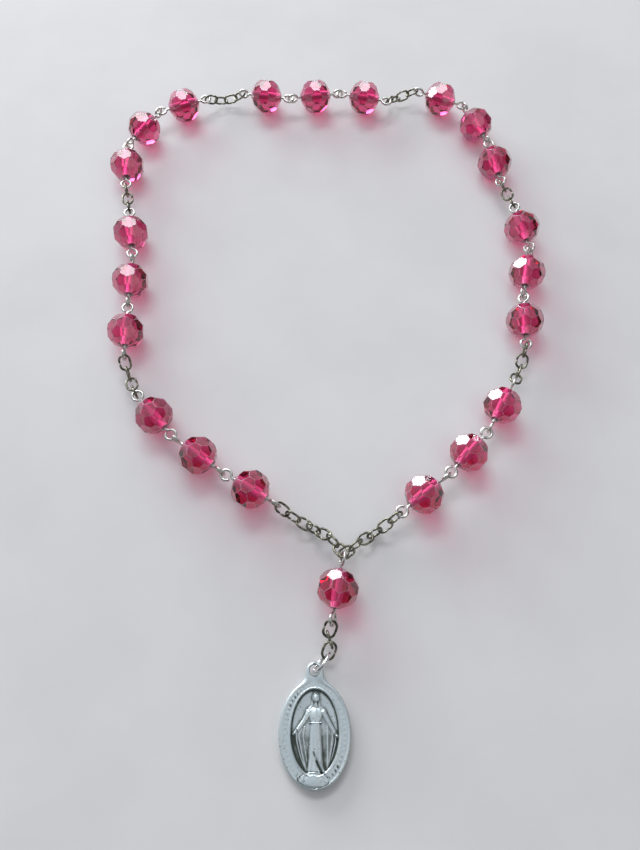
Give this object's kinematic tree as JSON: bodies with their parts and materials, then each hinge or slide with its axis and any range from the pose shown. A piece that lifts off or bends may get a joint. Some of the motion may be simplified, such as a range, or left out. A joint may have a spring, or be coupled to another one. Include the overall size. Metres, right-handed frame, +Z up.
{
  "type": "chaplet rosary",
  "caption": "Ring of faceted plastic beads on looped wire pins, in groups joined by short link chains, with a drop bead, a jump ring and an oval medal.",
  "frame": {"origin": "centre of the bounding box at its lowest level, on the surface that the rosary lies on", "axes": "+Z up off the surface, +Y from the medal towards the far side of the ring, +X to the right seen from above"},
  "size_m": [0.1036, 0.1652, 0.0077],
  "materials": {
    "bead_acrylic": "clear raspberry acrylic, polished facets",
    "pin_wire": "bright nickel plated wire",
    "chain_wire": "aged brass wire, dull grey green",
    "ring_wire": "bright plated wire",
    "medal_metal": "stamped, worn, darker in the recesses"
  },
  "bodies": {
    "pin_drop": {"pin_drop": "pin_wire"},
    "bead_drop": {"bead_drop": "bead_acrylic"},
    "chain_left_1": {"chain_left_1": "chain_wire"},
    "chain_left_1_far": {"chain_left_1_far": "chain_wire"},
    "pin_01": {"pin_01": "pin_wire"},
    "bead_01": {"bead_01": "bead_acrylic"},
    "pin_02": {"pin_02": "pin_wire"},
    "bead_02": {"bead_02": "bead_acrylic"},
    "pin_03": {"pin_03": "pin_wire"},
    "bead_03": {"bead_03": "bead_acrylic"},
    "chain_left_2": {"chain_left_2": "chain_wire"},
    "pin_04": {"pin_04": "pin_wire"},
    "bead_04": {"bead_04": "bead_acrylic"},
    "pin_05": {"pin_05": "pin_wire"},
    "bead_05": {"bead_05": "bead_acrylic"},
    "pin_06": {"pin_06": "pin_wire"},
    "bead_06": {"bead_06": "bead_acrylic"},
    "chain_left_3": {"chain_left_3": "chain_wire"},
    "pin_07": {"pin_07": "pin_wire"},
    "bead_07": {"bead_07": "bead_acrylic"},
    "pin_08": {"pin_08": "pin_wire"},
    "bead_08": {"bead_08": "bead_acrylic"},
    "pin_09": {"pin_09": "pin_wire"},
    "bead_09": {"bead_09": "bead_acrylic"},
    "chain_left_4": {"chain_left_4": "chain_wire"},
    "pin_10": {"pin_10": "pin_wire"},
    "bead_10": {"bead_10": "bead_acrylic"},
    "pin_11": {"pin_11": "pin_wire"},
    "bead_11": {"bead_11": "bead_acrylic"},
    "pin_12": {"pin_12": "pin_wire"},
    "bead_12": {"bead_12": "bead_acrylic"},
    "chain_right_1": {"chain_right_1": "chain_wire"},
    "chain_right_1_far": {"chain_right_1_far": "chain_wire"},
    "pin_21": {"pin_21": "pin_wire"},
    "bead_21": {"bead_21": "bead_acrylic"},
    "pin_20": {"pin_20": "pin_wire"},
    "bead_20": {"bead_20": "bead_acrylic"},
    "pin_19": {"pin_19": "pin_wire"},
    "bead_19": {"bead_19": "bead_acrylic"},
    "chain_right_2": {"chain_right_2": "chain_wire"},
    "pin_18": {"pin_18": "pin_wire"},
    "bead_18": {"bead_18": "bead_acrylic"},
    "pin_17": {"pin_17": "pin_wire"},
    "bead_17": {"bead_17": "bead_acrylic"},
    "pin_16": {"pin_16": "pin_wire"},
    "bead_16": {"bead_16": "bead_acrylic"},
    "chain_right_3": {"chain_right_3": "chain_wire"},
    "pin_15": {"pin_15": "pin_wire"},
    "bead_15": {"bead_15": "bead_acrylic"},
    "pin_14": {"pin_14": "pin_wire"},
    "bead_14": {"bead_14": "bead_acrylic"},
    "pin_13": {"pin_13": "pin_wire"},
    "bead_13": {"bead_13": "bead_acrylic"},
    "chain_right_4": {"chain_right_4": "chain_wire"},
    "drop_link_1": {"drop_link_1": "chain_wire"},
    "drop_link_2": {"drop_link_2": "chain_wire"},
    "drop_link_3": {"drop_link_3": "chain_wire"},
    "jump_ring": {"jump_ring": "ring_wire"},
    "medal": {"medal": "medal_metal"}
  },
  "joints": [
    {"name": "drop_link_1_swing", "type": "hinge", "parent": "pin_drop", "child": "drop_link_1", "pos_m": [0.00167, -0.05476, 0.0039], "axis": [0, 0, 1], "range_deg": [-60, 60]},
    {"name": "drop_link_2_swing", "type": "hinge", "parent": "drop_link_1", "child": "drop_link_2", "pos_m": [0.00082, -0.05648, 0.00278], "axis": [-0.9205, 0.3907, 0], "range_deg": [-60, 60]},
    {"name": "drop_link_3_swing", "type": "hinge", "parent": "drop_link_2", "child": "drop_link_3", "pos_m": [0.00177, -0.05845, 0.00213], "axis": [-0.1006, 0.3096, -0.9455], "range_deg": [-60, 60]},
    {"name": "jump_ring_swing", "type": "hinge", "parent": "drop_link_3", "child": "jump_ring", "pos_m": [0.00057, -0.06036, 0.00169], "axis": [0.9135, -0.4067, 0], "range_deg": [-30, 60]},
    {"name": "medal_swing", "type": "hinge", "parent": "jump_ring", "child": "medal", "pos_m": [-0.0015, -0.06243, 0.00155], "axis": [-1, 0, 0], "range_deg": [-65, 10]},
    {"name": "chain_left_1_swing", "type": "hinge", "parent": "pin_drop", "child": "chain_left_1", "pos_m": [0.00419, -0.04048, 0.0039], "axis": [0, 0, 1], "range_deg": [0, 60]},
    {"name": "chain_left_1_far_swing", "type": "hinge", "parent": "chain_left_1", "child": "chain_left_1_far", "pos_m": [-0.00231, -0.0353, 0.00169], "axis": [0.5, 0.866, 0], "range_deg": [-60, 60]},
    {"name": "pin_01_swing", "type": "hinge", "parent": "chain_left_1_far", "child": "pin_01", "pos_m": [-0.00839, -0.03152, 0.0039], "axis": [0, 0, -1], "range_deg": [-60, 0]},
    {"name": "pin_02_swing", "type": "hinge", "parent": "pin_01", "child": "pin_02", "pos_m": [-0.02073, -0.0241, 0.0039], "axis": [-0.515, -0.8572, 0], "range_deg": [-60, 60]},
    {"name": "pin_03_swing", "type": "hinge", "parent": "pin_02", "child": "pin_03", "pos_m": [-0.03151, -0.01622, 0.0039], "axis": [0, 0, 1], "range_deg": [0, 60]},
    {"name": "chain_left_2_swing", "type": "hinge", "parent": "pin_03", "child": "chain_left_2", "pos_m": [-0.04018, -0.00606, 0.0039], "axis": [0.7547, 0.6561, 0], "range_deg": [-60, 60]},
    {"name": "pin_04_swing", "type": "hinge", "parent": "chain_left_2", "child": "pin_04", "pos_m": [-0.04319, 0.00168, 0.0039], "axis": [0, 0, -1], "range_deg": [-60, 20]},
    {"name": "pin_05_swing", "type": "hinge", "parent": "pin_04", "child": "pin_05", "pos_m": [-0.04369, 0.01607, 0.0039], "axis": [-0.9994, -0.0349, 0], "range_deg": [-60, 60]},
    {"name": "pin_06_swing", "type": "hinge", "parent": "pin_05", "child": "pin_06", "pos_m": [-0.04392, 0.02932, 0.0039], "axis": [0, 0, 1], "range_deg": [-60, 60]},
    {"name": "chain_left_3_swing", "type": "hinge", "parent": "pin_06", "child": "chain_left_3", "pos_m": [-0.04608, 0.0425, 0.0039], "axis": [0.9877, 0.1564, 0], "range_deg": [-60, 60]},
    {"name": "pin_07_swing", "type": "hinge", "parent": "chain_left_3", "child": "pin_07", "pos_m": [-0.04763, 0.04973, 0.00397], "axis": [-0.0242, 0.1371, -0.9903], "range_deg": [-60, 60]},
    {"name": "pin_08_swing", "type": "hinge", "parent": "pin_07", "child": "pin_08", "pos_m": [-0.04825, 0.06293, 0.0039], "axis": [-0.9986, -0.0523, 0], "range_deg": [-60, 0]},
    {"name": "pin_09_swing", "type": "hinge", "parent": "pin_08", "child": "pin_09", "pos_m": [-0.04096, 0.0738, 0.0039], "axis": [0, 0, 1], "range_deg": [-60, 60]},
    {"name": "chain_left_4_swing", "type": "hinge", "parent": "pin_09", "child": "chain_left_4", "pos_m": [-0.0285, 0.07786, 0.0039], "axis": [0.342, -0.9397, 0], "range_deg": [-60, 60]},
    {"name": "pin_10_swing", "type": "hinge", "parent": "chain_left_4", "child": "pin_10", "pos_m": [-0.02122, 0.07956, 0.0039], "axis": [0, 0, -1], "range_deg": [-60, 60]},
    {"name": "pin_11_swing", "type": "hinge", "parent": "pin_10", "child": "pin_11", "pos_m": [-0.00696, 0.07755, 0.0039], "axis": [0.1392, 0.9903, 0], "range_deg": [-60, 60]},
    {"name": "pin_12_swing", "type": "hinge", "parent": "pin_11", "child": "pin_12", "pos_m": [0.00576, 0.07956, 0.0039], "axis": [0, 0, 1], "range_deg": [-60, 60]},
    {"name": "chain_right_1_swing", "type": "hinge", "parent": "pin_drop", "child": "chain_right_1", "pos_m": [0.00419, -0.04048, 0.0039], "axis": [0, 0, 1], "range_deg": [-60, 0]},
    {"name": "chain_right_1_far_swing", "type": "hinge", "parent": "chain_right_1", "child": "chain_right_1_far", "pos_m": [0.00999, -0.03665, 0.00136], "axis": [0.5446, -0.8387, 0], "range_deg": [-60, 60]},
    {"name": "pin_21_swing", "type": "hinge", "parent": "chain_right_1_far", "child": "pin_21", "pos_m": [0.01573, -0.03276, 0.00412], "axis": [0.3547, 0.2577, -0.8988], "range_deg": [0, 60]},
    {"name": "pin_20_swing", "type": "hinge", "parent": "pin_21", "child": "pin_20", "pos_m": [0.02555, -0.02517, 0.0039], "axis": [-0.7314, 0.682, 0], "range_deg": [-60, 60]},
    {"name": "pin_19_swing", "type": "hinge", "parent": "pin_20", "child": "pin_19", "pos_m": [0.03475, -0.01548, 0.0039], "axis": [0, 0, 1], "range_deg": [-60, 0]},
    {"name": "chain_right_2_swing", "type": "hinge", "parent": "pin_19", "child": "chain_right_2", "pos_m": [0.04148, -0.00383, 0.00413], "axis": [0.866, -0.5, 0], "range_deg": [-60, 60]},
    {"name": "pin_18_swing", "type": "hinge", "parent": "chain_right_2", "child": "pin_18", "pos_m": [0.04522, 0.00556, 0.00413], "axis": [0.1136, 0.4555, -0.8829], "range_deg": [0, 60]},
    {"name": "pin_17_swing", "type": "hinge", "parent": "pin_18", "child": "pin_17", "pos_m": [0.04604, 0.01872, 0.0039], "axis": [-0.8172, 0.0571, -0.5736], "range_deg": [-60, 60]},
    {"name": "pin_16_swing", "type": "hinge", "parent": "pin_17", "child": "pin_16", "pos_m": [0.04907, 0.03132, 0.0039], "axis": [-0.6263, 0.1446, 0.766], "range_deg": [-60, 60]},
    {"name": "chain_right_3_swing", "type": "hinge", "parent": "pin_16", "child": "chain_right_3", "pos_m": [0.0463, 0.04404, 0.0039], "axis": [0.8041, 0.1563, 0.5736], "range_deg": [-60, 60]},
    {"name": "pin_15_swing", "type": "hinge", "parent": "chain_right_3", "child": "pin_15", "pos_m": [0.04384, 0.05101, 0.00397], "axis": [0.4946, 0.312, -0.8112], "range_deg": [-60, 60]},
    {"name": "pin_14_swing", "type": "hinge", "parent": "pin_15", "child": "pin_14", "pos_m": [0.04197, 0.0638, 0.0039], "axis": [-0.9877, -0.1564, 0], "range_deg": [0, 60]},
    {"name": "pin_13_swing", "type": "hinge", "parent": "pin_14", "child": "pin_13", "pos_m": [0.03674, 0.07567, 0.0039], "axis": [0, 0, 1], "range_deg": [-60, 50]},
    {"name": "chain_right_4_swing", "type": "hinge", "parent": "pin_13", "child": "chain_right_4", "pos_m": [0.02522, 0.08022, 0.0041], "axis": [0.1392, 0.9903, 0], "range_deg": [-60, 0]},
    {"name": "bead_drop_spin", "type": "hinge", "parent": "pin_drop", "child": "bead_drop", "pos_m": [0.00292, -0.04767, 0.0039], "axis": [-0.1736, -0.9848, 0], "continuous": true},
    {"name": "bead_01_spin", "type": "hinge", "parent": "pin_01", "child": "bead_01", "pos_m": [-0.01456, -0.02781, 0.0039], "axis": [-0.8572, 0.515, 0], "continuous": true},
    {"name": "bead_02_spin", "type": "hinge", "parent": "pin_02", "child": "bead_02", "pos_m": [-0.02568, -0.02045, 0.0039], "axis": [-0.809, 0.5878, 0], "continuous": true},
    {"name": "bead_03_spin", "type": "hinge", "parent": "pin_03", "child": "bead_03", "pos_m": [-0.03546, -0.01149, 0.0039], "axis": [-0.6561, 0.7547, 0], "continuous": true},
    {"name": "bead_04_spin", "type": "hinge", "parent": "pin_04", "child": "bead_04", "pos_m": [-0.04344, 0.00887, 0.0039], "axis": [-0.0349, 0.9994, 0], "continuous": true},
    {"name": "bead_05_spin", "type": "hinge", "parent": "pin_05", "child": "bead_05", "pos_m": [-0.04379, 0.02212, 0.0039], "axis": [-0.0174, 0.9998, 0], "continuous": true},
    {"name": "bead_06_spin", "type": "hinge", "parent": "pin_06", "child": "bead_06", "pos_m": [-0.04495, 0.03539, 0.0039], "axis": [-0.1564, 0.9877, 0], "continuous": true},
    {"name": "bead_07_spin", "type": "hinge", "parent": "pin_07", "child": "bead_07", "pos_m": [-0.04787, 0.05574, 0.0039], "axis": [-0.0523, 0.9986, 0], "continuous": true},
    {"name": "bead_08_spin", "type": "hinge", "parent": "pin_08", "child": "bead_08", "pos_m": [-0.04478, 0.06769, 0.0039], "axis": [0.5299, 0.848, 0], "continuous": true},
    {"name": "bead_09_spin", "type": "hinge", "parent": "pin_09", "child": "bead_09", "pos_m": [-0.03526, 0.0754, 0.0039], "axis": [0.9397, 0.342, 0], "continuous": true},
    {"name": "bead_10_spin", "type": "hinge", "parent": "pin_10", "child": "bead_10", "pos_m": [-0.01409, 0.07855, 0.0039], "axis": [0.9903, -0.1392, 0], "continuous": true},
    {"name": "bead_11_spin", "type": "hinge", "parent": "pin_11", "child": "bead_11", "pos_m": [-0.00137, 0.07855, 0.0039], "axis": [0.9903, 0.1392, 0], "continuous": true},
    {"name": "bead_12_spin", "type": "hinge", "parent": "pin_12", "child": "bead_12", "pos_m": [0.01128, 0.07811, 0.0039], "axis": [0.9781, -0.2079, 0], "continuous": true},
    {"name": "bead_21_spin", "type": "hinge", "parent": "pin_21", "child": "bead_21", "pos_m": [0.02065, -0.0289, 0.0039], "axis": [0.788, 0.6157, 0], "continuous": true},
    {"name": "bead_20_spin", "type": "hinge", "parent": "pin_20", "child": "bead_20", "pos_m": [0.03046, -0.01991, 0.0039], "axis": [0.682, 0.7314, 0], "continuous": true},
    {"name": "bead_19_spin", "type": "hinge", "parent": "pin_19", "child": "bead_19", "pos_m": [0.03835, -0.00925, 0.0039], "axis": [0.5, 0.866, 0], "continuous": true},
    {"name": "bead_18_spin", "type": "hinge", "parent": "pin_18", "child": "bead_18", "pos_m": [0.04554, 0.01154, 0.0039], "axis": [0.0698, 0.9976, 0], "continuous": true},
    {"name": "bead_17_spin", "type": "hinge", "parent": "pin_17", "child": "bead_17", "pos_m": [0.04745, 0.02431, 0.0039], "axis": [0.225, 0.9744, 0], "continuous": true},
    {"name": "bead_16_spin", "type": "hinge", "parent": "pin_16", "child": "bead_16", "pos_m": [0.04767, 0.03697, 0.0039], "axis": [-0.1908, 0.9816, 0], "continuous": true},
    {"name": "bead_15_spin", "type": "hinge", "parent": "pin_15", "child": "bead_15", "pos_m": [0.0431, 0.05669, 0.0039], "axis": [-0.1564, 0.9877, 0], "continuous": true},
    {"name": "bead_14_spin", "type": "hinge", "parent": "pin_14", "child": "bead_14", "pos_m": [0.03955, 0.06904, 0.0039], "axis": [-0.3907, 0.9205, 0], "continuous": true},
    {"name": "bead_13_spin", "type": "hinge", "parent": "pin_13", "child": "bead_13", "pos_m": [0.03093, 0.07766, 0.0039], "axis": [-0.9205, 0.3907, 0], "continuous": true}
  ]
}
